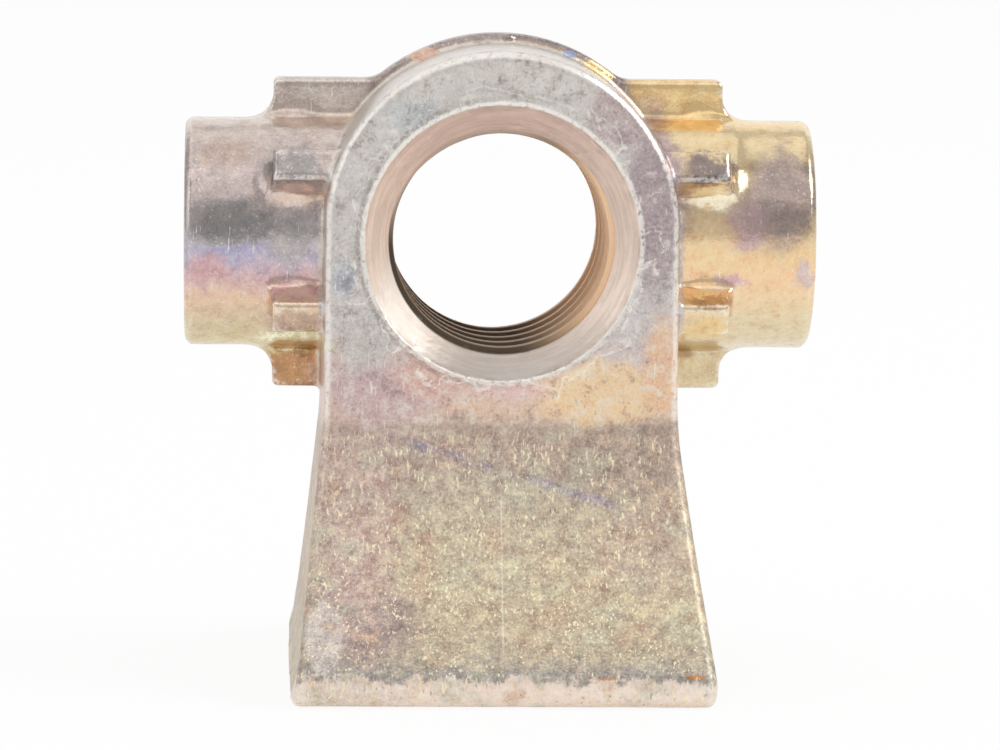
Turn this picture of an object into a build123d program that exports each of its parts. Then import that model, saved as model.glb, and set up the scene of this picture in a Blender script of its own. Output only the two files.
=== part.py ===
from build123d import *
import math
import os

# Spindle nut: a threaded boss with two ribbed trunnions and a flared sliding foot, cast in one piece.
# Millimetres, +Z up. The origin is where the spindle axis (Y) crosses the trunnion axis (X).

# Boss round the spindle
boss_half_width = 13.5
boss_face_margin = 0.55
arch_rise = 1.1
cast_draft_angle = 1.0
cast_edge_break = 0.5

# Ribs that stiffen the trunnions and end in a shoulder
rib_reach = 3.7
rib_height = 2.92
rib_thickness = 2.67
rib_count = 6
first_rib_angle = 90
rib_end_round = 1.85
rib_root_round = 0.6
rib_edge_break = 0.3
rib_end_sink = 0.05

# Trunnions: the cast core between the ribs, and the turned journal that the nut swings on
journal_radius = 8.75
journal_length = 6.7
journal_edge_break = 0.45
core_allowance = 0.2

# Rim over the boss, a continuation of the two top ribs
rim_height = 0.79
rim_rise = 1.09
rim_blend_round = 2.0
rim_root_round = 0.45

# Foot, swept out to the front and the back below a crease
crease_drop = 13.8
crease_angle = 12
crease_blend_round = 2.0
sweep_radius = 33.0
toe_round = 1.75
foot_drop = 33.7
foot_flare = 2.7
flare_blend_round = 40.0

# Spindle bore at the thread's minor diameter, with a lead-in cone at each end
bore_radius = 8.1
lead_in_depth = 2.3

# Each cut runs past the surface it opens by this much
overrun = 2.0

# Derived places
core_radius = journal_radius + core_allowance
rib_radius = core_radius + rib_height
rib_end_centre_radius = journal_radius + rib_end_round - rib_end_sink
rib_half_thickness = rib_thickness / 2
front_rib_tilt = math.radians(first_rib_angle - 360 / rib_count)
front_rib_reach = rib_radius * math.cos(front_rib_tilt) + rib_half_thickness * math.sin(front_rib_tilt)
boss_half_depth = front_rib_reach + boss_face_margin
rim_radius = boss_half_width + rim_height
rib_shoulder_half_span = boss_half_width + rib_reach
rib_end_drop = rib_end_centre_radius - journal_radius
rib_run_out = rib_shoulder_half_span + rib_end_round - math.sqrt(rib_end_round**2 - rib_end_drop**2)
trunnion_half_span = rib_shoulder_half_span + journal_length
clear_radius = rim_radius + rim_rise + overrun
rib_clear_radius = rib_radius + overrun
rib_middle_radius = (core_radius + rib_radius) / 2
rib_tip_share = 0.99
rib_tip_radius = rib_radius * rib_tip_share
journal_edge_start = trunnion_half_span - journal_edge_break
journal_end_radius = journal_radius - journal_edge_break
notch_share = 0.9
sweep_start = math.radians(crease_angle)
sweep_centre_y = boss_half_depth + sweep_radius * math.cos(sweep_start)
sweep_centre_z = -crease_drop + sweep_radius * math.sin(sweep_start)
toe_centre_z = -foot_drop + toe_round
sweep_end = math.asin((sweep_centre_z - toe_centre_z) / (sweep_radius + toe_round))
sweep_mid = (sweep_start + sweep_end) / 2
toe_centre_y = sweep_centre_y - (sweep_radius + toe_round) * math.cos(sweep_end)
toe_mid = (sweep_end - math.pi / 2) / 2
block_reach = toe_centre_y + toe_round + overrun
front_edge_share = 0.5
front_edge_limit = -boss_half_depth * front_edge_share
flare_slope = foot_flare / (foot_drop - crease_drop)
flare_end_drop = foot_drop + overrun
flare_end_width = boss_half_width + foot_flare + flare_slope * overrun


def axis_distance(point):
    return math.hypot(point.Y, point.Z)


def sweep_point(angle):
    return (sweep_radius * math.cos(angle) - sweep_centre_y, sweep_centre_z - sweep_radius * math.sin(angle))


def toe_point(angle):
    return (-toe_centre_y - toe_round * math.cos(angle), toe_centre_z + toe_round * math.sin(angle))


# Front half of the boss and foot: the outline drafted from the parting plane, trimmed to the side profile
with BuildPart() as block:
    with BuildSketch(Plane.XZ) as outline:
        with BuildLine():
            arch = ThreePointArc(
                (-boss_half_width, arch_rise), (0, arch_rise + boss_half_width), (boss_half_width, arch_rise)
            )
            Polyline(
                arch @ 1,
                (boss_half_width, -crease_drop),
                (flare_end_width, -flare_end_drop),
                (-flare_end_width, -flare_end_drop),
                (-boss_half_width, -crease_drop),
                arch @ 0,
            )
        make_face()
        fillet(outline.vertices().group_by(Axis.Y)[1], radius=flare_blend_round)
    extrude(amount=block_reach, taper=cast_draft_angle)
    with BuildSketch(Plane.YZ) as profile:
        with BuildLine():
            Polyline(
                (0, -foot_drop),
                (0, clear_radius),
                (-boss_half_depth, clear_radius),
                (-boss_half_depth, -crease_drop),
            )
            ThreePointArc(sweep_point(sweep_start), sweep_point(sweep_mid), sweep_point(sweep_end))
            toe = ThreePointArc(toe_point(sweep_end), toe_point(toe_mid), toe_point(-math.pi / 2))
            Line(toe @ 1, (0, -foot_drop))
        make_face()
        crease = profile.vertices().sort_by_distance((-boss_half_depth, -crease_drop))[0]
        fillet(crease, radius=crease_blend_round)
    extrude(amount=flare_end_width, both=True, mode=Mode.INTERSECT)
    front_edges = block.edges().filter_by(lambda edge: edge.bounding_box().max.Y < front_edge_limit)
    chamfer(front_edges.sort_by(Axis.Z)[-1], length=cast_edge_break)
    mirror(about=Plane.XZ)

# Ribbed arms: a star section along X that carries the rim web on the parting plane
with BuildPart() as arms:
    with BuildSketch(Plane.YZ) as star:
        Circle(core_radius)
        with PolarLocations(0, rib_count, start_angle=first_rib_angle):
            with Locations((rib_radius / 2, 0)):
                Rectangle(rib_radius, rib_thickness)
        roots = star.vertices().filter_by(lambda corner: math.hypot(corner.X, corner.Y) < rib_middle_radius)
        fillet(roots, radius=rib_root_round)
    extrude(amount=rib_run_out, both=True)
    with BuildSketch(Plane.XZ) as web:
        Rectangle(boss_half_width * 2, rib_radius * 2)
        with Locations((0, rim_rise)):
            Circle(rim_radius)
        notches = web.vertices().filter_by(lambda corner: abs(corner.X) < rim_radius * notch_share)
        fillet(notches.group_by(Axis.Y)[-1], radius=rim_blend_round)
    extrude(amount=rib_half_thickness, both=True)
    with BuildSketch(Plane.XY):
        with BuildLine():
            Polyline(
                (0, 0),
                (0, clear_radius),
                (boss_half_width, clear_radius),
                (boss_half_width, rib_clear_radius),
                (rib_shoulder_half_span, rib_clear_radius),
                (rib_shoulder_half_span, rib_end_centre_radius),
            )
            RadiusArc(
                (rib_shoulder_half_span, rib_end_centre_radius), (rib_run_out, journal_radius), -rib_end_round
            )
            Polyline((rib_run_out, journal_radius), (rib_run_out, 0), (0, 0))
        make_face()
        mirror(about=Plane.YZ)
    revolve(axis=Axis.X, mode=Mode.INTERSECT)
    tip_edges = arms.edges().filter_by(
        lambda edge: edge.length > rib_end_round and axis_distance(edge @ 0.5) > rib_tip_radius
    )
    chamfer(tip_edges, length=rib_edge_break)

# The nut: block and arms in one casting, then the turned journals and the spindle bore
with BuildPart() as spindle_nut:
    add(block.part)
    add(arms.part)
    rim_foot = spindle_nut.edges(Select.NEW).filter_by(lambda edge: (edge @ 0.5).Z > rib_radius)
    fillet(rim_foot, radius=rim_root_round)
    with BuildSketch(Plane.XY):
        with BuildLine():
            Polyline(
                (0, 0),
                (0, journal_radius),
                (journal_edge_start, journal_radius),
                (trunnion_half_span, journal_end_radius),
                (trunnion_half_span, 0),
                (0, 0),
            )
        make_face()
        mirror(about=Plane.YZ)
    revolve(axis=Axis.X)
    with Locations(Rotation(90, 0, 0)):
        Cylinder(bore_radius, (boss_half_depth + overrun) * 2, mode=Mode.SUBTRACT)
    rings = spindle_nut.edges().filter_by(GeomType.CIRCLE)
    mouths = rings.filter_by(lambda ring: math.isclose(ring.radius, bore_radius))
    chamfer(mouths, length=lead_in_depth)

spindle_nut.part.label = "spindle_nut"
os.makedirs("parts", exist_ok=True)
export_step(spindle_nut.part, "parts/spindle_nut.step")
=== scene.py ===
import math

import bmesh
import bpy
from mathutils import Color, Matrix, Vector


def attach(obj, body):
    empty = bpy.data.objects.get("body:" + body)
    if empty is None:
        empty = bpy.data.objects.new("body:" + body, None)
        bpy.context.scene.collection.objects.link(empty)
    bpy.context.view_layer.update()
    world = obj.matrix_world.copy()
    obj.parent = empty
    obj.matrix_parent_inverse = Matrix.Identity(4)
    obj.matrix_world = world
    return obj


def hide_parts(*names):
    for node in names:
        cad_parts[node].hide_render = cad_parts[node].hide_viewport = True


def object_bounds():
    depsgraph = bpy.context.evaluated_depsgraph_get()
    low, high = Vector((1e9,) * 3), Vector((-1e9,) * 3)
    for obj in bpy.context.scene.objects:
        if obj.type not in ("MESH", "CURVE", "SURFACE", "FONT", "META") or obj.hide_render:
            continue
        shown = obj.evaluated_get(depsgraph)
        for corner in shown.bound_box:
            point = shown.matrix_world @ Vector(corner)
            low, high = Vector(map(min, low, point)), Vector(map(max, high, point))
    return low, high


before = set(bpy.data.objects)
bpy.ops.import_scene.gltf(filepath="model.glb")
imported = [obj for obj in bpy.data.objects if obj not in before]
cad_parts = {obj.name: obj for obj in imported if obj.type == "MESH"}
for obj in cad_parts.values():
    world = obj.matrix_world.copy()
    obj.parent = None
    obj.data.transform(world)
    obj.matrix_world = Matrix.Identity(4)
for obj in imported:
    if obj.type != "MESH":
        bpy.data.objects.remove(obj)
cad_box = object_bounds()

# The spindle nut itself: one casting with a tapped spindle hole, two ribbed trunnions and a flared foot.
# It is die-cast, turned on the trunnions, tapped, and zinc plated with a yellow chromate rinse.
# Everything is one piece, so this section makes one mesh, in millimetres until its last step.
MM = 0.001
casting_node = "spindle_nut"


class Signal:
    """A socket of a node tree. Sums on it add Math nodes, and node() adds any other node."""

    def __init__(self, tree, socket=None):
        self.tree = tree
        self.socket = socket

    def node(self, kind, settings=None, sockets=None, output=0):
        made = self.tree.nodes.new(kind)
        for name, value in (settings or {}).items():
            if name == "stops":
                ramp = made.color_ramp
                while len(ramp.elements) < len(value):
                    ramp.elements.new(1.0)
                for element, (place, colour) in zip(ramp.elements, value):
                    element.position = place
                    element.color = colour
            else:
                setattr(made, name, value)
        for name, value in (sockets or {}).items():
            if isinstance(value, Signal):
                self.tree.links.new(value.socket, made.inputs[name])
            else:
                made.inputs[name].default_value = value
        return Signal(self.tree, made.outputs[output])

    def math(self, operation, first, second=0.0):
        return self.node("ShaderNodeMath", {"operation": operation}, {0: first, 1: second})

    def __add__(self, other):
        return self.math("ADD", self, other)

    def __sub__(self, other):
        return self.math("SUBTRACT", self, other)

    def __rsub__(self, other):
        return self.math("SUBTRACT", other, self)

    def __mul__(self, other):
        return self.math("MULTIPLY", self, other)

    def __truediv__(self, other):
        return self.math("DIVIDE", self, other)

    def __abs__(self):
        return self.math("ABSOLUTE", self)

    __radd__ = __add__
    __rmul__ = __mul__

    def step(self, low, high, start=0.0, end=1.0):
        places = {"Value": self, "From Min": low, "From Max": high, "To Min": start, "To Max": end}
        return self.node("ShaderNodeMapRange", {"interpolation_type": "SMOOTHSTEP"}, places)

    def fall(self, low, high):
        return 1 - self.step(low, high)


def set_sizes(maker, sizes):
    """Sets the named sizes of a Geometry Nodes modifier by their sockets' identifiers."""
    for item in maker.node_group.interface.items_tree:
        if item.item_type == "SOCKET" and item.in_out == "INPUT" and item.name in sizes:
            maker[item.identifier] = sizes[item.name]


def close_tree(signal, made, output_name):
    """Ends a geometry tree: real geometry, in the nut's finish, on the tree's output."""
    real = signal.node("GeometryNodeRealizeInstances", None, {"Geometry": made})
    finished = signal.node("GeometryNodeSetMaterial", None, {"Geometry": real, "Material": finish})
    outputs = signal.tree.nodes.new("NodeGroupOutput")
    signal.tree.links.new(finished.socket, outputs.inputs[output_name])


def merge_doubles(mesh, turn_out=False):
    """Joins a mesh's loose triangles, and turns its faces outwards where that is asked."""
    shape = bmesh.new()
    shape.from_mesh(mesh)
    bmesh.ops.remove_doubles(shape, verts=shape.verts, dist=weld_distance)
    if turn_out:
        bmesh.ops.recalc_face_normals(shape, faces=shape.faces)
    shape.to_mesh(mesh)
    shape.free()


def evaluated_mesh(carrier):
    return bpy.data.meshes.new_from_object(carrier.evaluated_get(bpy.context.evaluated_depsgraph_get()))


# The finish is named here, because the tap and the cast skin both hand it to the faces they make
finish = bpy.data.materials.new("chromated_casting")
weld_distance = 1e-4

# A right-hand spindle thread: a wide shallow groove wound round the bore, cut as a tap would cut it
thread_sizes = {
    "Pitch": 4.0,
    "Root Radius": 8.5,
    "Inner Radius": 7.4,
    "Root Half Width": 1.3,
    "Inner Half Width": 1.75,
    "Turns": 8.0,
}
thread_top_start = -7.4
thread_lead_turns = 2
thread_top_turn = 1 / 4
thread_steps_per_turn = 120

tap_tree = bpy.data.node_groups.new("spindle_tap", "GeometryNodeTree")
for size_name in thread_sizes:
    tap_tree.interface.new_socket(size_name, in_out="INPUT", socket_type="NodeSocketFloat")
tap_tree.interface.new_socket("Tap", in_out="OUTPUT", socket_type="NodeSocketGeometry")
tap = Signal(tap_tree)
tap_inputs = tap_tree.nodes.new("NodeGroupInput")
size = {name: Signal(tap_tree, tap_inputs.outputs[name]) for name in thread_sizes}
helix = tap.node("GeometryNodeCurveSpiral", None, {
    "Resolution": thread_steps_per_turn,
    "Rotations": size["Turns"],
    "Start Radius": size["Root Radius"],
    "End Radius": size["Root Radius"],
    "Height": size["Turns"] * size["Pitch"],
    "Reverse": True,
})
helix = tap.node("GeometryNodeSetCurveNormal", {"mode": "Z_UP"}, {"Curve": helix})
# Along the reversed helix the profile's X points away from the axis, so the way in is negative
way_in = size["Inner Radius"] - size["Root Radius"]


def groove_corner(out, half_width):
    return tap.node("ShaderNodeCombineXYZ", None, {"X": out, "Y": half_width})


groove = tap.node("GeometryNodeCurvePrimitiveQuadrilateral", {"mode": "POINTS"}, {
    "Point 1": groove_corner(0.0, 0 - size["Root Half Width"]),
    "Point 2": groove_corner(0.0, size["Root Half Width"]),
    "Point 3": groove_corner(way_in, size["Inner Half Width"]),
    "Point 4": groove_corner(way_in, 0 - size["Inner Half Width"]),
})
wound = tap.node("GeometryNodeCurveToMesh", None, {
    "Curve": helix, "Profile Curve": groove, "Fill Caps": True,
})
close_tree(tap, wound, "Tap")
carrier = bpy.data.objects.new("tap_start", bpy.data.meshes.new("tap_start"))
bpy.context.scene.collection.objects.link(carrier)
winding = carrier.modifiers.new("winding", "NODES")
winding.node_group = tap_tree
set_sizes(winding, thread_sizes)
tap_mesh = evaluated_mesh(carrier)
bpy.data.objects.remove(carrier)
tap_start = thread_top_start + thread_sizes["Pitch"] * (thread_top_turn - thread_lead_turns)
tap_mesh.transform(Matrix.Translation((0, tap_start, 0)) @ Matrix.Rotation(-math.pi / 2, 4, "X"))
merge_doubles(tap_mesh, turn_out=True)
tap_tool = bpy.data.objects.new("spindle_tap", tap_mesh)
bpy.context.scene.collection.objects.link(tap_tool)

# The casting's mesh: the frame's solid with soft cast edges and an uneven skin, tapped last
grain_size = 0.2
softening_rounds = 4
softening_factor = 0.5
kept_share = 0.3
sharp_angle = 40

casting_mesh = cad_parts[casting_node].data.copy()
casting_mesh.transform(Matrix.Scale(1 / MM, 4))
casting_mesh.materials.clear()
casting_mesh.materials.append(finish)
merge_doubles(casting_mesh)

skin_sizes = {
    "Mouth Radius": 10.4,
    "Mouth Distance": 11.497,
    "Burr Height": 0.12,
    "Burr Reach": 0.3,
    "Lip Height": 0.1,
    "Swell": 0.05,
    "Pit Depth": 0.05,
    "Crease Drop": 13.8,
    "Foot Drop": 33.7,
    "Foot Half Width": 16.2,
    "Foot Narrowing": 0.25,
    "Foot Lean": 0.25,
    "Arm Start": 13.6,
    "Corner Fill": 1.0,
    "Toe Distance": 21.4,
    "Nub Height": 0.35,
    "Nub Reach": 0.6,
}
nub_place = (0.75, -1.4, 15.0)
edge_blur_rounds = 4
corner_blur_rounds = 60

# Lumps in the skin: the scale and detail of each noise, and the level it is measured from
burr_lumps = (2.4, 3.0)
burr_level = 0.42
burr_gain = 2
lip_lumps = (0.33, 2.0)
lip_level = 0.42
lip_reach = 7
lip_ripples = (1.3, 2.0)
lip_ripple_level = 0.5
lip_ripple_reach = 0.8
lip_edge = (-0.12, 0.12)
lip_inset = 0.1
lip_inset_fade = (-0.2, 0.1)
swell_lumps = (0.35, 2.0)
swell_level = 0.9
pit_lumps = (1.9, 2.0)
pit_range = (0.62, 0.8)
fill_fade = (0.0, 1.8)
lean_rise = (0.0, 0.85)
lean_end = (0.9, 0.98)
lean_end_loss = 0.8

skin_tree = bpy.data.node_groups.new("cast_skin", "GeometryNodeTree")
skin_tree.interface.new_socket("Casting", in_out="INPUT", socket_type="NodeSocketGeometry")
for size_name in skin_sizes:
    skin_tree.interface.new_socket(size_name, in_out="INPUT", socket_type="NodeSocketFloat")
skin_tree.interface.new_socket("Casting", in_out="OUTPUT", socket_type="NodeSocketGeometry")
skin = Signal(skin_tree)
skin_inputs = skin_tree.nodes.new("NodeGroupInput")
size = {name: Signal(skin_tree, skin_inputs.outputs[name]) for name in skin_sizes}
place = skin.node("GeometryNodeInputPosition")
normal = skin.node("GeometryNodeInputNormal")


def vector(operation, first, second, output=0):
    return skin.node("ShaderNodeVectorMath", {"operation": operation}, {0: first, 1: second}, output)


def depth_below_blur(rounds):
    """How deep the surface lies below itself blurred: above 0 in corners, below 0 on edges."""
    blurred = skin.node("GeometryNodeBlurAttribute", {"data_type": "FLOAT_VECTOR"}, {
        "Value": place, "Iterations": rounds,
    })
    return vector("DOT_PRODUCT", vector("SUBTRACT", blurred, place), normal, "Value")


def lumps(scale, detail):
    return skin.node("ShaderNodeTexNoise", None, {"Vector": place, "Scale": scale, "Detail": detail})


marked = skin.node("GeometryNodeStoreNamedAttribute", {"data_type": "FLOAT", "domain": "POINT"}, {
    "Geometry": Signal(skin_tree, skin_inputs.outputs["Casting"]),
    "Name": "hollow",
    "Value": depth_below_blur(edge_blur_rounds),
})
axes = skin_tree.nodes.new("ShaderNodeSeparateXYZ")
skin_tree.links.new(place.socket, axes.inputs[0])
x, y, z = (Signal(skin_tree, axes.outputs[name]) for name in "XYZ")
off_axis = skin.math("SQRT", x * x + z * z)
from_edge_out = off_axis - size["Mouth Radius"]
from_edge_in = abs(y) - size["Mouth Distance"]
from_edge = skin.math("SQRT", from_edge_out * from_edge_out + from_edge_in * from_edge_in)
burr = from_edge.fall(0.0, size["Burr Reach"]) * (lumps(*burr_lumps) - burr_level)
burr = burr * size["Burr Height"] * burr_gain
lip_width = (lumps(*lip_lumps) - lip_level) * lip_reach
lip_width = lip_width + (lumps(*lip_ripples) - lip_ripple_level) * lip_ripple_reach
lip = (from_edge - lip_width).fall(*lip_edge)
lip = lip * (0 - from_edge_out - lip_inset).step(*lip_inset_fade, 1.0, 0.0)
swell = (lumps(*swell_lumps) - swell_level) * size["Swell"]
pits = (0 - lumps(*pit_lumps).step(*pit_range)) * size["Pit Depth"]
nub_gap = vector("DISTANCE", place, nub_place, "Value")
nub = nub_gap.fall(0.0, size["Nub Reach"]) * size["Nub Height"]
corner = skin.math("MAXIMUM", depth_below_blur(corner_blur_rounds), 0.0)
fill = corner * size["Corner Fill"] * (abs(x) - size["Arm Start"]).step(*fill_fade)
rise = burr + lip * size["Lip Height"] + swell + pits + nub + fill
lift = skin.node("ShaderNodeVectorMath", {"operation": "SCALE"}, {0: normal, "Scale": rise})
below_crease = ((0 - z) - size["Crease Drop"]) / (size["Foot Drop"] - size["Crease Drop"])
narrowing = size["Foot Narrowing"] * below_crease.step(0.0, 1.0) * (1 - abs(y) / size["Toe Distance"])
lean_share = below_crease.step(*lean_rise) * (1 - below_crease.step(*lean_end) * lean_end_loss)
drawn_in = skin.node("ShaderNodeCombineXYZ", None, {
    "X": size["Foot Lean"] * lean_share - x / size["Foot Half Width"] * narrowing,
})
skinned = skin.node("GeometryNodeSetPosition", None, {
    "Geometry": marked, "Offset": vector("ADD", lift, drawn_in),
})
close_tree(skin, skinned, "Casting")

casting = bpy.data.objects.new("spindle_nut_casting", casting_mesh)
bpy.context.scene.collection.objects.link(casting)
graining = casting.modifiers.new("graining", "REMESH")
graining.mode = "VOXEL"
graining.voxel_size = grain_size
softening = casting.modifiers.new("softening", "SMOOTH")
softening.factor = softening_factor
softening.iterations = softening_rounds
skinning = casting.modifiers.new("skinning", "NODES")
skinning.node_group = skin_tree
set_sizes(skinning, skin_sizes)
thinning = casting.modifiers.new("thinning", "DECIMATE")
thinning.ratio = kept_share
tapping = casting.modifiers.new("tapping", "BOOLEAN")
tapping.object = tap_tool
tapping.operation = "DIFFERENCE"
tapping.solver = "EXACT"
made = evaluated_mesh(casting)
casting.modifiers.clear()
casting.data = made
bpy.data.objects.remove(tap_tool)
made.transform(Matrix.Scale(MM, 4))
# The thread's root meets the lead-in cone at 45 degrees, and that edge has to stay sharp
made.shade_smooth()
made.set_sharp_from_angle(angle=math.radians(sharp_angle))


# Yellow chromate over zinc: a thin film whose colour turns with its thickness, duller on the cast faces
def paint(red, green, blue):
    return (*Color((red / 255, green / 255, blue / 255)).from_srgb_to_scene_linear(), 1.0)


finish.use_nodes = True
finish_tree = finish.node_tree
shader = finish_tree.nodes["Principled BSDF"]
film = Signal(finish_tree)
metres = film.node("ShaderNodeTexCoord", None, None, "Object")
place = film.node("ShaderNodeVectorMath", {"operation": "SCALE"}, {0: metres, "Scale": 1 / MM})
noise_middle = 0.5
stray_roughness = 0.75


def split(vector_signal):
    parts = finish_tree.nodes.new("ShaderNodeSeparateXYZ")
    finish_tree.links.new(vector_signal.socket, parts.inputs[0])
    return [Signal(finish_tree, parts.outputs[name]) for name in "XYZ"]


def noise(scale, detail=2.0, roughness=0.5, at=None, output=0):
    return film.node("ShaderNodeTexNoise", None, {
        "Vector": at or place, "Scale": scale, "Detail": detail, "Roughness": roughness,
    }, output)


def blend(share, under, over, kind="MIX"):
    settings = {"data_type": "RGBA", "blend_type": kind}
    return film.node("ShaderNodeMix", settings, {0: share, 6: under, 7: over}, 2)


def stray(reach, scale, detail):
    """The place, shifted a little at random, so that what is drawn there has a ragged edge."""
    shift = film.node("ShaderNodeVectorMath", {"operation": "SUBTRACT"}, {
        0: noise(scale, detail, stray_roughness, None, "Color"), 1: (noise_middle,) * 3,
    })
    shift = film.node("ShaderNodeVectorMath", {"operation": "SCALE"}, {0: shift, "Scale": reach})
    return film.node("ShaderNodeVectorMath", {"operation": "ADD"}, {0: place, 1: shift})


def distance(across, up):
    return film.math("SQRT", across * across + up * up)


def bands(value, span, stops):
    """A colour that changes along a value, from stops of (value, colour) within a span."""
    low, high = span
    places = [((at - low) / (high - low), colour) for at, colour in stops]
    return film.node("ShaderNodeValToRGB", {"stops": places}, {"Fac": (value - low) / (high - low)})


# Places in millimetres: x, y, z are true, xs and zs wander by millimetres, xm and zm by tenths
arch_rise = 1.1
x, y, z = split(place)
xs, _, zs = split(stray(reach=3.4, scale=0.5, detail=4.0))
xm, _, zm = split(stray(reach=0.5, scale=1.6, detail=3.0))
off_axis = distance(x, z)
from_arch = distance(x, film.math("MAXIMUM", z - arch_rise, 0.0))

# Bands of colour up the left arm, the right arm and the boss with its foot, by height
arms_span = (-12.0, 12.0)
face_span = (-34.0, 16.0)
left_bands = [
    (-12.0, paint(184, 142, 103)), (-9.6, paint(180, 138, 101)), (-8.9, paint(206, 184, 136)),
    (-6.5, paint(216, 198, 166)), (-4.6, paint(226, 194, 168)), (-2.9, paint(212, 180, 180)),
    (-1.4, paint(186, 178, 196)), (-0.4, paint(186, 180, 186)), (1.2, paint(184, 176, 176)),
    (3.2, paint(190, 176, 173)), (6.0, paint(188, 174, 170)), (9.0, paint(214, 200, 190)),
    (9.5, paint(204, 188, 178)), (12.0, paint(200, 188, 180)),
]
right_bands = [
    (-12.0, paint(222, 202, 164)), (-9.4, paint(214, 194, 156)), (-8.9, paint(222, 206, 176)),
    (-6.2, paint(228, 210, 174)), (-4.2, paint(240, 211, 172)), (-2.6, paint(244, 207, 166)),
    (-1.0, paint(236, 204, 158)), (1.0, paint(228, 200, 160)), (3.0, paint(220, 196, 164)),
    (5.0, paint(214, 192, 156)), (8.0, paint(236, 212, 168)), (9.2, paint(242, 208, 152)),
    (12.0, paint(238, 204, 148)),
]
# On the boss and foot, the pale band at the toe is a painted reflection of the floor, the grey band just
# above it is painted shade, and the bright band just above the crease is a painted highlight
face_bands = [
    (-34.0, paint(245, 227, 213)), (-31.7, paint(245, 227, 213)), (-31.2, paint(158, 154, 152)),
    (-30.0, paint(190, 178, 158)), (-27.0, paint(198, 184, 159)), (-20.0, paint(198, 185, 165)),
    (-15.0, paint(196, 176, 166)), (-13.6, paint(208, 186, 170)), (-12.6, paint(232, 204, 182)),
    (-10.0, paint(218, 198, 190)), (-6.0, paint(210, 202, 200)), (2.0, paint(210, 205, 202)),
    (10.0, paint(218, 213, 208)), (16.0, paint(218, 212, 206)),
]
rim_colour = paint(157, 143, 139)
foot_top_fade = (-15.0, -13.4)
boss_side_fade = (13.6, 13.9)
rim_bottom_fade = (8.6, 9.2)
rim_end_fade = (9.4, 10.4)
arms_bottom_fade = (-12.9, -12.5)
left_to_right = (-2.0, 2.0)
toe_depth_fade = (17.0, 19.5)
toe_floor_heights = (-29.5, -34.0)
foot_share = z.fall(*foot_top_fade)
off_boss = from_arch.step(*boss_side_fade)
rim_share = off_boss * z.step(*rim_bottom_fade) * abs(x).fall(*rim_end_fade)
arms_share = off_boss * z.step(*arms_bottom_fade)
left_colour = bands(zs, arms_span, left_bands)
right_colour = bands(zs, arms_span, right_bands)
arms_colour = blend(xs.step(*left_to_right), left_colour, right_colour)
# The toe's pale band, a painted reflection of the floor, stays at the front and the back, off the foot's
# sides
toe_floor = abs(y).step(*toe_depth_fade, *toe_floor_heights)
face_height = film.math("MAXIMUM", zs, toe_floor)
colour = blend(arms_share, bands(face_height, face_span, face_bands), arms_colour)
colour = blend(rim_share, colour, rim_colour)
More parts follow.
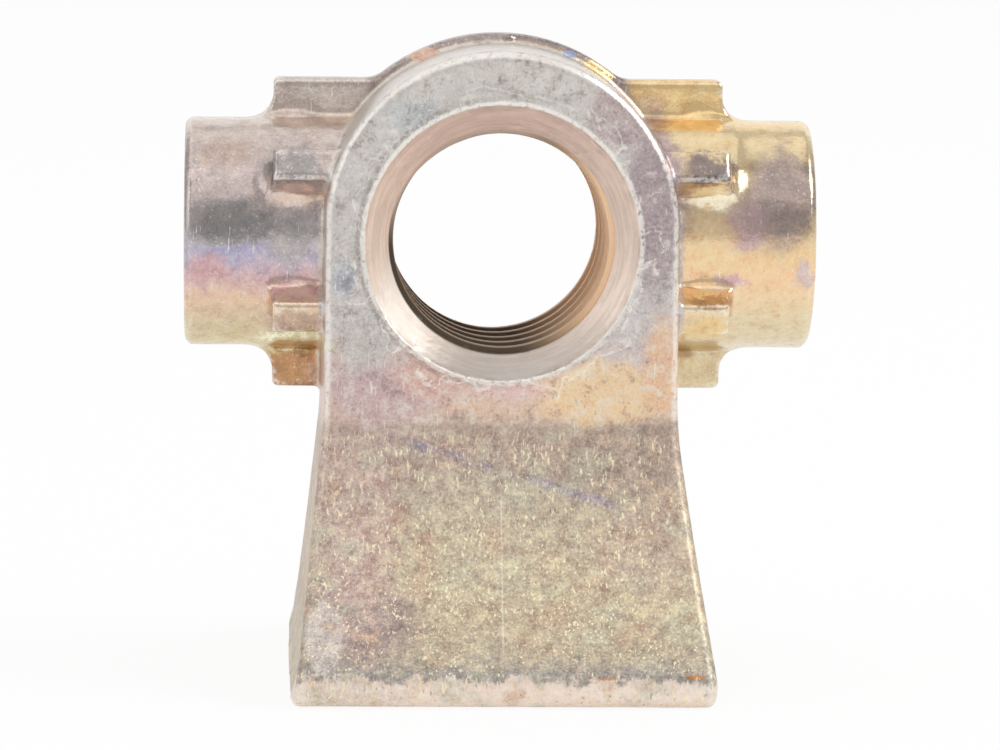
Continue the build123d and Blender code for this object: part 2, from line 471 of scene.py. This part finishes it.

# Clouds in the film, and clouds of painted shade on the trunnions and below the crease: where each lies, how
# far it reaches (mm), its colour and its strength
clouds = {
    "mauve right of the bore": ((11.4, 3.4), (2.6, 7.6), paint(173, 153, 160), 0.8),
    "rose left of the crease": ((-9.0, -11.4), (5.5, 2.6), paint(206, 181, 184), 0.8),
    "rose below the bore": ((-5.4, -10.2), (3.2, 1.8), paint(222, 184, 172), 0.8),
    "gold right of the crease": ((7.5, -11.2), (5.5, 2.8), paint(246, 216, 176), 0.9),
    "orange right edge": ((12.2, -9.0), (1.8, 4.2), paint(240, 198, 162), 0.8),
    "pink under the bore": ((0.6, -10.9), (3.4, 0.8), paint(236, 204, 200), 0.8),
    "blue left of the bore": ((-12.0, -2.6), (1.0, 1.8), paint(176, 182, 192), 0.8),
    "green grey left": ((-10.2, -7.0), (2.4, 3.2), paint(200, 196, 192), 0.7),
    "blue above the bore": ((-6.5, 9.5), (2.6, 1.6), paint(196, 202, 206), 0.6),
    "mauve above right": ((8.4, 9.4), (2.6, 2.6), paint(194, 174, 174), 0.75),
    "dull left of the foot": ((-10.8, -27.4), (4.8, 3.6), paint(160, 141, 143), 0.75),
    "dull left toe": ((-11.0, -32.6), (5.0, 1.1), paint(226, 210, 197), 0.8),
    "mauve left of the foot": ((-11.0, -20.5), (3.8, 9.0), paint(203, 177, 170), 0.7),
    "brown right of the foot": ((10.5, -22.0), (4.0, 4.0), paint(196, 174, 160), 0.6),
    # Painted shade: the dark zone just below the crease, across the top of the foot
    "painted shade right of the foot": ((9.2, -16.2), (6.0, 3.2), paint(184, 166, 152), 0.8),
    "painted shade below the crease": ((0.5, -15.2), (7.5, 1.6), paint(194, 172, 158), 0.6),
    # Painted shade: a dark band across the front of the left trunnion
    "painted shade on the left arm": ((-20.2, 1.1), (3.5, 2.0), paint(154, 150, 150), 0.95),
    "blue left arm": ((-20.2, -0.9), (3.4, 0.7), paint(172, 168, 194), 0.8),
    "magenta left arm": ((-22.0, -2.4), (2.2, 1.4), paint(206, 167, 168), 0.8),
    "tan under the left rib": ((-15.4, 3.5), (2.4, 0.9), paint(224, 200, 188), 0.9),
    "grey left core": ((-15.8, 0.0), (2.0, 2.4), paint(176, 170, 170), 0.8),
    "olive left arm": ((-15.6, -7.9), (2.8, 1.1), paint(252, 252, 216), 0.95),
    "brown left arm": ((-20.6, 6.4), (2.2, 1.1), paint(192, 170, 158), 0.7),
    # Painted shade: a wider dark band across the front of the right trunnion
    "painted shade on the right arm": ((21.2, 3.2), (2.9, 4.2), paint(168, 152, 147), 0.95),
    "mauve right arm": ((18.4, 1.0), (1.9, 2.4), paint(196, 168, 172), 0.8),
    "purple right arm": ((17.2, -2.9), (1.5, 0.7), paint(206, 164, 184), 0.7),
    "blue right arm": ((22.9, -2.4), (0.8, 1.2), paint(192, 180, 198), 0.6),
    "mauve right rib": ((15.6, 5.5), (2.3, 1.2), paint(136, 123, 122), 0.95),
    "grey left rib": ((-15.6, 5.6), (2.4, 1.2), paint(158, 154, 153), 0.9),
    "salmon left rib": ((-15.6, -6.2), (2.4, 1.1), paint(192, 166, 150), 0.8),
    "pale under the right rib": ((15.8, 3.5), (2.6, 0.9), paint(255, 246, 218), 0.9),
    "brown on the lower right rib": ((15.6, -4.4), (2.2, 0.6), paint(176, 142, 108), 0.8),
    "gold on the lower right rib": ((15.5, -6.6), (2.2, 1.0), paint(237, 207, 150), 0.8),
    "gold right core": ((15.8, -0.2), (2.2, 2.8), paint(240, 210, 166), 0.8),
}
cloud_edge = (0.55, 1.15)


def spread(across, up, centre, reach):
    """How far a place lies from the middle of a cloud, 1 at the cloud's own reach."""
    return distance((across - centre[0]) / reach[0], (up - centre[1]) / reach[1])


for centre, reach, cloud_colour, strength in clouds.values():
    colour = blend(spread(xs, zs, centre, reach).fall(*cloud_edge) * strength, colour, cloud_colour)

# Small sharp marks: a dried drop and rust on the front of the foot, and colour on the rim
front_fade = (-2.0, 2.0)
rim_depth_fade = (1.6, 2.4)
mark_edge = (0.85, 1.1)
marks = {
    "pale drop": ((-13.3, -28.6), (1.5, 2.5), paint(212, 204, 202), 0.6),
    "rust near the corner": ((14.2, -31.2), (0.9, 0.16), paint(204, 132, 72), 0.8),
    "rust on the toe": ((7.6, -31.3), (0.8, 0.12), paint(204, 132, 72), 0.7),
}
rim_marks = {
    "pink": ((-5.8, 13.7), (1.4, 0.6), paint(214, 172, 152), 0.7),
    "blue": ((5.4, 13.8), (0.5, 0.3), paint(150, 172, 214), 0.7),
    "gold": ((7.4, 12.4), (1.5, 1.0), paint(238, 206, 140), 0.7),
}
front = y.fall(*front_fade)
near_rim = abs(y).fall(*rim_depth_fade)
for share, group in ((front, marks), (near_rim, rim_marks)):
    for centre, reach, mark_colour, strength in group.values():
        inside = spread(xm, zm, centre, reach).fall(*mark_edge)
        colour = blend(inside * share * strength, colour, mark_colour)

# A bluish streak across the top of the foot, and a pale upright seam down its middle
streak_drop = 16.97
streak_slope = 0.29
streak_edge = (0.15, 0.55)
streak_ends = (7.0, 10.0)
streak_breaks = (0.3, 0.55)
streak_strength = 0.85
seam_edge = (0.03, 0.09)
seam_drop = 24.0
seam_ends = (4.5, 6.5)
seam_strength = 0.45
streak = abs(zm + streak_drop + xm * streak_slope).fall(*streak_edge) * abs(x).fall(*streak_ends)
streak = streak * noise(scale=0.7).step(*streak_breaks)
colour = blend(streak * front * streak_strength, colour, paint(170, 159, 172))
seam = abs(x).fall(*seam_edge) * abs(z + seam_drop).fall(*seam_ends)
colour = blend(seam * front * foot_share * seam_strength, colour, paint(244, 240, 226))

# Drift in the film: greener and browner areas on the foot, bright and tarnished ones on the boss
crumble = noise(scale=4.6, detail=3.0, roughness=0.7)
mottle = noise(scale=1.0, detail=5.0, roughness=0.7)
drift = noise(scale=0.3, detail=3.0, roughness=0.6)
green_range = (0.52, 0.66)
brown_range = (0.34, 0.46)
drift_strength = 0.5
silver_range = (0.54, 0.62)
tarnish_range = (0.36, 0.44)
boss_strength = 0.35
arms_tarnish_loss = 0.7
green = drift.step(*green_range) * foot_share
colour = blend(green * drift_strength, colour, paint(196, 194, 174))
brown = drift.fall(*brown_range) * foot_share
colour = blend(brown * drift_strength, colour, paint(206, 176, 152))
silver = mottle.step(*silver_range) * (1 - foot_share) * (1 - arms_share)
colour = blend(silver * boss_strength, colour, paint(228, 225, 220))
tarnish = mottle.fall(*tarnish_range) * (1 - foot_share) * (1 - arms_share * arms_tarnish_loss)
colour = blend(tarnish * boss_strength, colour, paint(158, 150, 150))

# Grain of the film: a coarse and a fine grain, each with its range and its strength over the nut
pale_grain = paint(250, 240, 225)
mid_grain = paint(188, 188, 188)
dark_grain = paint(112, 104, 102)
coarse_range = (0.3, 0.7)
coarse_strength = 0.3
coarse_foot_gain = 0.25
fine_range = (0.34, 0.66)
fine_strength = 0.26
fine_foot_gain = 0.1
fine_arms_loss = 0.12
coarse_share = coarse_strength + foot_share * coarse_foot_gain
fine_share = fine_strength + foot_share * fine_foot_gain - arms_share * fine_arms_loss
for value, (low, high), share in ((mottle, coarse_range, coarse_share), (crumble, fine_range, fine_share)):
    grain_stops = [(low, dark_grain), ((low + high) / 2, mid_grain), (high, pale_grain)]
    grain = film.node("ShaderNodeValToRGB", {"stops": grain_stops}, {"Fac": value})
    colour = blend(share, colour, grain, "OVERLAY")


# Pale flecks on the foot, scratches and pale crumbs, and dark specks
def drawn(turn, wide, long, low, high):
    """Short scratches: noise drawn out along one line of the front."""
    along = film.node("ShaderNodeMapping", None, {
        "Vector": place, "Rotation": (0.0, math.radians(turn), 0.0), "Scale": (wide, wide, long),
    })
    return noise(scale=1.0, at=along).step(low, high)


cluster_range = (0.34, 0.62)
cluster_shares = (0.2, 1.0)
fleck_strength = 0.9
scratch_strength = 0.6
speck_strength = 0.28
speck_foot_gain = 0.22
speck_arms_loss = 0.14
crumb_range = (0.6, 0.68)
crumb_strength = 0.25
crumb_left_gain = 0.3
left_arm_fade = (-14.0, -13.0)
flecks = drawn(turn=6, wide=3.8, long=0.7, low=0.62, high=0.69)
flecks = flecks + drawn(turn=-24, wide=4.0, long=0.6, low=0.63, high=0.7)
flecks = flecks + drawn(turn=32, wide=4.0, long=0.6, low=0.64, high=0.71)
clusters = noise(scale=0.45, detail=3.0, roughness=0.6).step(*cluster_range, *cluster_shares)
fleck_share = film.math("MINIMUM", flecks, 1.0) * clusters * foot_share * fleck_strength
colour = blend(fleck_share, colour, paint(255, 243, 206))
scratches = drawn(turn=24, wide=5.0, long=0.36, low=0.7, high=0.75)
scratches = scratches + drawn(turn=-40, wide=5.0, long=0.4, low=0.71, high=0.76)
scratches = scratches + drawn(turn=88, wide=5.0, long=0.4, low=0.72, high=0.77)
colour = blend(film.math("MINIMUM", scratches, 1.0) * scratch_strength, colour, paint(250, 244, 232))
specks = drawn(turn=12, wide=3.6, long=2.0, low=0.63, high=0.71)
speck_share = speck_strength + foot_share * speck_foot_gain - arms_share * speck_arms_loss
colour = blend(specks * speck_share, colour, paint(124, 110, 102))
crumbs = noise(scale=3.6, detail=3.0, roughness=0.65).step(*crumb_range) * (1 - foot_share)
left_arm = arms_share * x.fall(*left_arm_fade)
colour = blend(crumbs * (crumb_strength + left_arm * crumb_left_gain), colour, paint(226, 220, 214))

# Lead-in cone: pale turned metal with fine turning lines, grey at its bottom as painted shade, with a
# painted highlight at its lower left
cone_span = (-11.0, 11.0)
# Cream to pink is the cone's own colour; the grey at the bottom is painted shade, and the palest band low
# down is a painted highlight
cone_bands = [
    (-10.0, paint(198, 192, 186)), (-5.0, paint(255, 238, 224)),
    (3.0, paint(246, 223, 207)), (9.0, paint(246, 217, 204)),
]
cone_rim_fade = (10.3, 10.42)
cone_depth_fade = (9.0, 9.25)
lines_per_mm = 5.0
line_stretch = 0.25
line_range = (0.42, 0.6)
line_strength = 0.3
highlight_place = (-7.4, -4.6)
highlight_reach = (2.6, 4.4)
highlight_edge = (0.4, 1.1)
highlight_strength = 0.8
cone_share = off_axis.fall(*cone_rim_fade) * abs(y).step(*cone_depth_fade)
turning = film.node("ShaderNodeCombineXYZ", None, {
    "X": off_axis * lines_per_mm, "Y": x * line_stretch, "Z": z * line_stretch,
})
turned_lines = noise(scale=1.0, detail=3.0, roughness=0.6, at=turning).step(*line_range)
cone_colour = blend(turned_lines * line_strength, bands(zm, cone_span, cone_bands), paint(186, 172, 160))
colour = blend(cone_share, colour, cone_colour)
# A painted highlight on the cone's lower left
cone_painted_highlight = spread(x, z, highlight_place, highlight_reach).fall(*highlight_edge) * cone_share
colour = blend(cone_painted_highlight * highlight_strength, colour, paint(255, 246, 236))

# Thread: dark in the roots and crests on the left, with painted light where the bore lies in shade: golden
# to the right and pale at the top left
bore_rim_fade = (8.52, 8.64)
bore_end_fade = (9.45, 9.7)
painted_light_right_fade = (1.0, 8.0)
upper_fade = (-1.0, 3.0)
upper_right_fade = (1.0, 5.0)
painted_light_upper_strength = 0.8
crest_fade = (8.11, 8.2)
bore_share = off_axis.fall(*bore_rim_fade) * abs(y).fall(*bore_end_fade)
# Painted light: the roots and crests turn golden to the right, and the roots turn pale at the top left
root_colour_and_painted_light = blend(x.step(*painted_light_right_fade), paint(88, 72, 56), paint(252, 214, 174))
painted_light_upper_left = z.step(*upper_fade) * x.fall(*upper_right_fade)
root_colour_and_painted_light = blend(painted_light_upper_left * painted_light_upper_strength, root_colour_and_painted_light, paint(226, 200, 184))
crest_colour_and_painted_light = blend(x.step(*painted_light_right_fade), paint(168, 144, 118), paint(250, 212, 172))
thread_colour = blend(off_axis.step(*crest_fade), crest_colour_and_painted_light, root_colour_and_painted_light)
colour = blend(bore_share, colour, thread_colour)

# Wear: bright rubbed edges, crumbled lines round the mouth and the face, gold in the corners, and a painted
# shadow line outside the mouth
ridge = film.node("ShaderNodeAttribute", {"attribute_name": "hollow"}, None, "Fac")
broken = noise(scale=2.6, detail=3.0, roughness=0.6)
rubbed_range = (0.02, 0.055)
rubbed_breaks = (0.4, 0.56)
rubbed_strength = 0.5
corner_range = (0.012, 0.045)
corner_strength = 0.2
line_core = 0.4
line_breaks = (0.34, 0.5)
mouth_strength = 0.8
face_bottom_fade = (-13.8, -12.8)
face_strength = 0.75
lip_line_edge = (0.04, 0.2)
lip_line_start = (10.4, 10.6)
lip_line_depth = (11.2, 11.35)
lip_line_breaks = (0.4, 0.52)
lip_line_strength = 0.6
shadow_line_side = (-4.0, 4.0)
shadow_line_range = (0.4, 0.55)
shadow_line_strength = 0.5
rubbed = (0 - ridge).step(*rubbed_range) * broken.step(*rubbed_breaks)
cornered = ridge.step(*corner_range)
colour = blend(cornered * corner_strength, colour, paint(196, 160, 110))


def edge_line(across, centre, depth, width):
    """A broken line along an edge at a distance from an axis, at a depth on the front or the back."""
    gap = distance(across - centre, abs(y) - depth)
    return gap.fall(width * line_core, width) * broken.step(*line_breaks)


ragged_radius = distance(xm, zm)
mouth_line = edge_line(ragged_radius, centre=10.45, depth=11.5, width=0.3)
face_line = edge_line(from_arch + (xm - x), centre=13.2, depth=11.4, width=0.5) * z.step(*face_bottom_fade)
# The lip is as wide here as in the cast skin, from the same noise
lip_width = (noise(*lip_lumps) - lip_level) * lip_reach
lip_width = lip_width + (noise(*lip_ripples) - lip_ripple_level) * lip_ripple_reach
lip_line = abs(off_axis - skin_sizes["Mouth Radius"] - lip_width).fall(*lip_line_edge)
lip_line = lip_line * off_axis.step(*lip_line_start) * abs(y).step(*lip_line_depth)
lip_line = lip_line * broken.step(*lip_line_breaks)
lines = film.math("MAXIMUM", face_line * face_strength, lip_line * lip_line_strength)
lines = film.math("MAXIMUM", mouth_line * mouth_strength, lines)
# A painted shadow: a broken dark line just outside the mouth, along the lip's outer edge on the left
painted_shadow_line = edge_line(ragged_radius, centre=10.85, depth=11.45, width=0.3) * x.fall(*shadow_line_side)
painted_shadow_line = painted_shadow_line * mottle.step(*shadow_line_range)
colour = blend(painted_shadow_line * shadow_line_strength, colour, paint(128, 112, 100))
worn = film.math("MAXIMUM", rubbed * rubbed_strength, lines)
colour = blend(worn, colour, paint(248, 244, 236))
finish_tree.links.new(colour.socket, shader.inputs["Base Color"])

# Gloss: the arms are the brightest metal, the cast foot the dullest
arms_metal = 0.9
boss_metal_loss = 0.25
foot_metal_loss = 0.2
cone_metal_loss = 0.45
bore_metal_loss = 0.6
highlight_metal_loss = 0.6
golden_metal_fade = (3.5, 6.5)
golden_metal_loss = 0.6
arms_dullness = 0.17
boss_dullness_gain = 0.17
foot_dullness_gain = 0.1
bore_dullness_gain = 0.2
uneven_dullness = 0.16
fine_bump = 0.5
bump_strength = 0.35
bump_distance = 0.08 * MM
metal = arms_metal - boss_metal_loss * (1 - arms_share) - foot_metal_loss * foot_share
metal = metal * (1 - cone_share * cone_metal_loss) * (1 - bore_share * bore_metal_loss)
metal = metal * (1 - cone_painted_highlight * highlight_metal_loss)
metal = metal * (1 - bore_share * x.step(*golden_metal_fade) * golden_metal_loss)
finish_tree.links.new(metal.socket, shader.inputs["Metallic"])
dullness = arms_dullness + (1 - arms_share) * boss_dullness_gain + foot_share * foot_dullness_gain
dullness = dullness + bore_share * bore_dullness_gain
dullness = dullness + (noise(scale=2.2, detail=3.0) - noise_middle) * uneven_dullness
finish_tree.links.new(dullness.socket, shader.inputs["Roughness"])
bumps = crumble * fine_bump + noise(scale=1.2)
bumped = film.node("ShaderNodeBump", None, {
    "Height": bumps, "Strength": bump_strength, "Distance": bump_distance,
})
finish_tree.links.new(bumped.socket, shader.inputs["Normal"])

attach(casting, "root")
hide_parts(casting_node)

# A plain white floor that the nut stands on: one flat matt sheet, level with the underside of the foot.
# To the camera and in reflections it glows white, so that it is the whole background as well.
floor_half = 4.0
floor_cells = 8
floor_white = (0.9, 0.9, 0.9, 1.0)
glow_white = (1.0, 1.0, 1.0, 1.0)
glow_strength = 1.0
glow_level = 0.9
floor_mesh = bpy.data.meshes.new("floor")
shape = bmesh.new()
bmesh.ops.create_grid(shape, x_segments=floor_cells, y_segments=floor_cells, size=floor_half)
shape.to_mesh(floor_mesh)
shape.free()
floor_mesh.transform(Matrix.Translation((0, 0, cad_box[0][2])))
floor = bpy.data.objects.new("floor", floor_mesh)
bpy.context.scene.collection.objects.link(floor)
floor_finish = bpy.data.materials.new("white_floor")
floor_finish.use_nodes = True
floor_tree = floor_finish.node_tree
floor_tree.nodes.clear()
sheet = Signal(floor_tree)
rays = floor_tree.nodes.new("ShaderNodeLightPath")
camera_ray = Signal(floor_tree, rays.outputs["Is Camera Ray"])
glossy_ray = Signal(floor_tree, rays.outputs["Is Glossy Ray"])
transmission_ray = Signal(floor_tree, rays.outputs["Is Transmission Ray"])
glow_share = (camera_ray + glossy_ray + transmission_ray) * glow_level
matt = sheet.node("ShaderNodeBsdfDiffuse", None, {"Color": floor_white})
glow = sheet.node("ShaderNodeEmission", None, {"Color": glow_white, "Strength": glow_strength})
both = sheet.node("ShaderNodeMixShader", None, {0: glow_share, 1: matt, 2: glow})
floor_output = floor_tree.nodes.new("ShaderNodeOutputMaterial")
floor_tree.links.new(both.socket, floor_output.inputs["Surface"])
floor_mesh.materials.append(floor_finish)

# Soft studio light: boxes overhead, behind, above the camera and to both sides, in a dim grey room.
# Each has its place, width and height in metres, and how bright its face is. All are turned to the nut.
softboxes = {
    "softbox_top": ((-0.25, 0.1, 0.9), 1.2, 1.0, 0.45),
    "softbox_back": ((0.0, 1.5, 0.7), 2.2, 1.2, 0.45),
    "softbox_front": ((0.0, -0.9, 1.2), 1.6, 1.0, 0.45),
    "softbox_left": ((-1.2, -0.3, 0.5), 0.8, 0.9, 0.7),
    "softbox_right": ((1.0, -0.15, 0.8), 0.7, 0.7, 4.0),
}
room_grey = (0.6, 0.6, 0.6, 1.0)
for name, (lamp_place, width, height, radiance) in softboxes.items():
    lamp = bpy.data.lights.new(name, "AREA")
    lamp.shape = "RECTANGLE"
    lamp.size = width
    lamp.size_y = height
    lamp.energy = radiance * math.pi * width * height
    holder = bpy.data.objects.new(name, lamp)
    holder.location = lamp_place
    holder.rotation_euler = (-Vector(lamp_place)).to_track_quat("-Z", "Y").to_euler()
    bpy.context.scene.collection.objects.link(holder)
room = bpy.data.worlds.new("studio")
bpy.context.scene.world = room
room.use_nodes = True
room.node_tree.nodes["Background"].inputs["Color"].default_value = room_grey
bpy.context.scene.view_settings.view_transform = "Standard"

# The camera: a long lens a little above the spindle axis and a touch to the left of it.
# It looks so that the origin falls on one pixel of the picture, and is rolled by a small angle.
camera_turn = 0.042
camera_rise = 0.0742
camera_distance = 0.41806
camera_roll = 0.0097
focal_pixels = 5437.58
axis_pixel = (496.47, 232.35)
picture_size = (1000, 750)
sensor_width = 36.0
back = Vector((
    -math.sin(camera_turn) * math.cos(camera_rise),
    -math.cos(camera_turn) * math.cos(camera_rise),
    math.sin(camera_rise),
))
level = (-back).cross(Vector((0, 0, 1))).normalized()
upright = level.cross(-back)
across = level * math.cos(camera_roll) + upright * math.sin(camera_roll)
upward = upright * math.cos(camera_roll) - level * math.sin(camera_roll)
aside = (axis_pixel[0] - picture_size[0] / 2) / focal_pixels
above = (picture_size[1] / 2 - axis_pixel[1]) / focal_pixels
sight = (-back - across * aside - upward * above).normalized()
across = (across - sight * across.dot(sight)).normalized()
upward = across.cross(sight)
camera_data = bpy.data.cameras.new("camera")
camera_data.sensor_fit = "HORIZONTAL"
camera_data.sensor_width = sensor_width
camera_data.lens = focal_pixels * sensor_width / picture_size[0]
camera = bpy.data.objects.new("camera", camera_data)
turned = Matrix((across, upward, -sight)).transposed().to_4x4()
camera.matrix_world = Matrix.Translation(back * camera_distance) @ turned
bpy.context.scene.collection.objects.link(camera)
bpy.context.scene.camera = camera
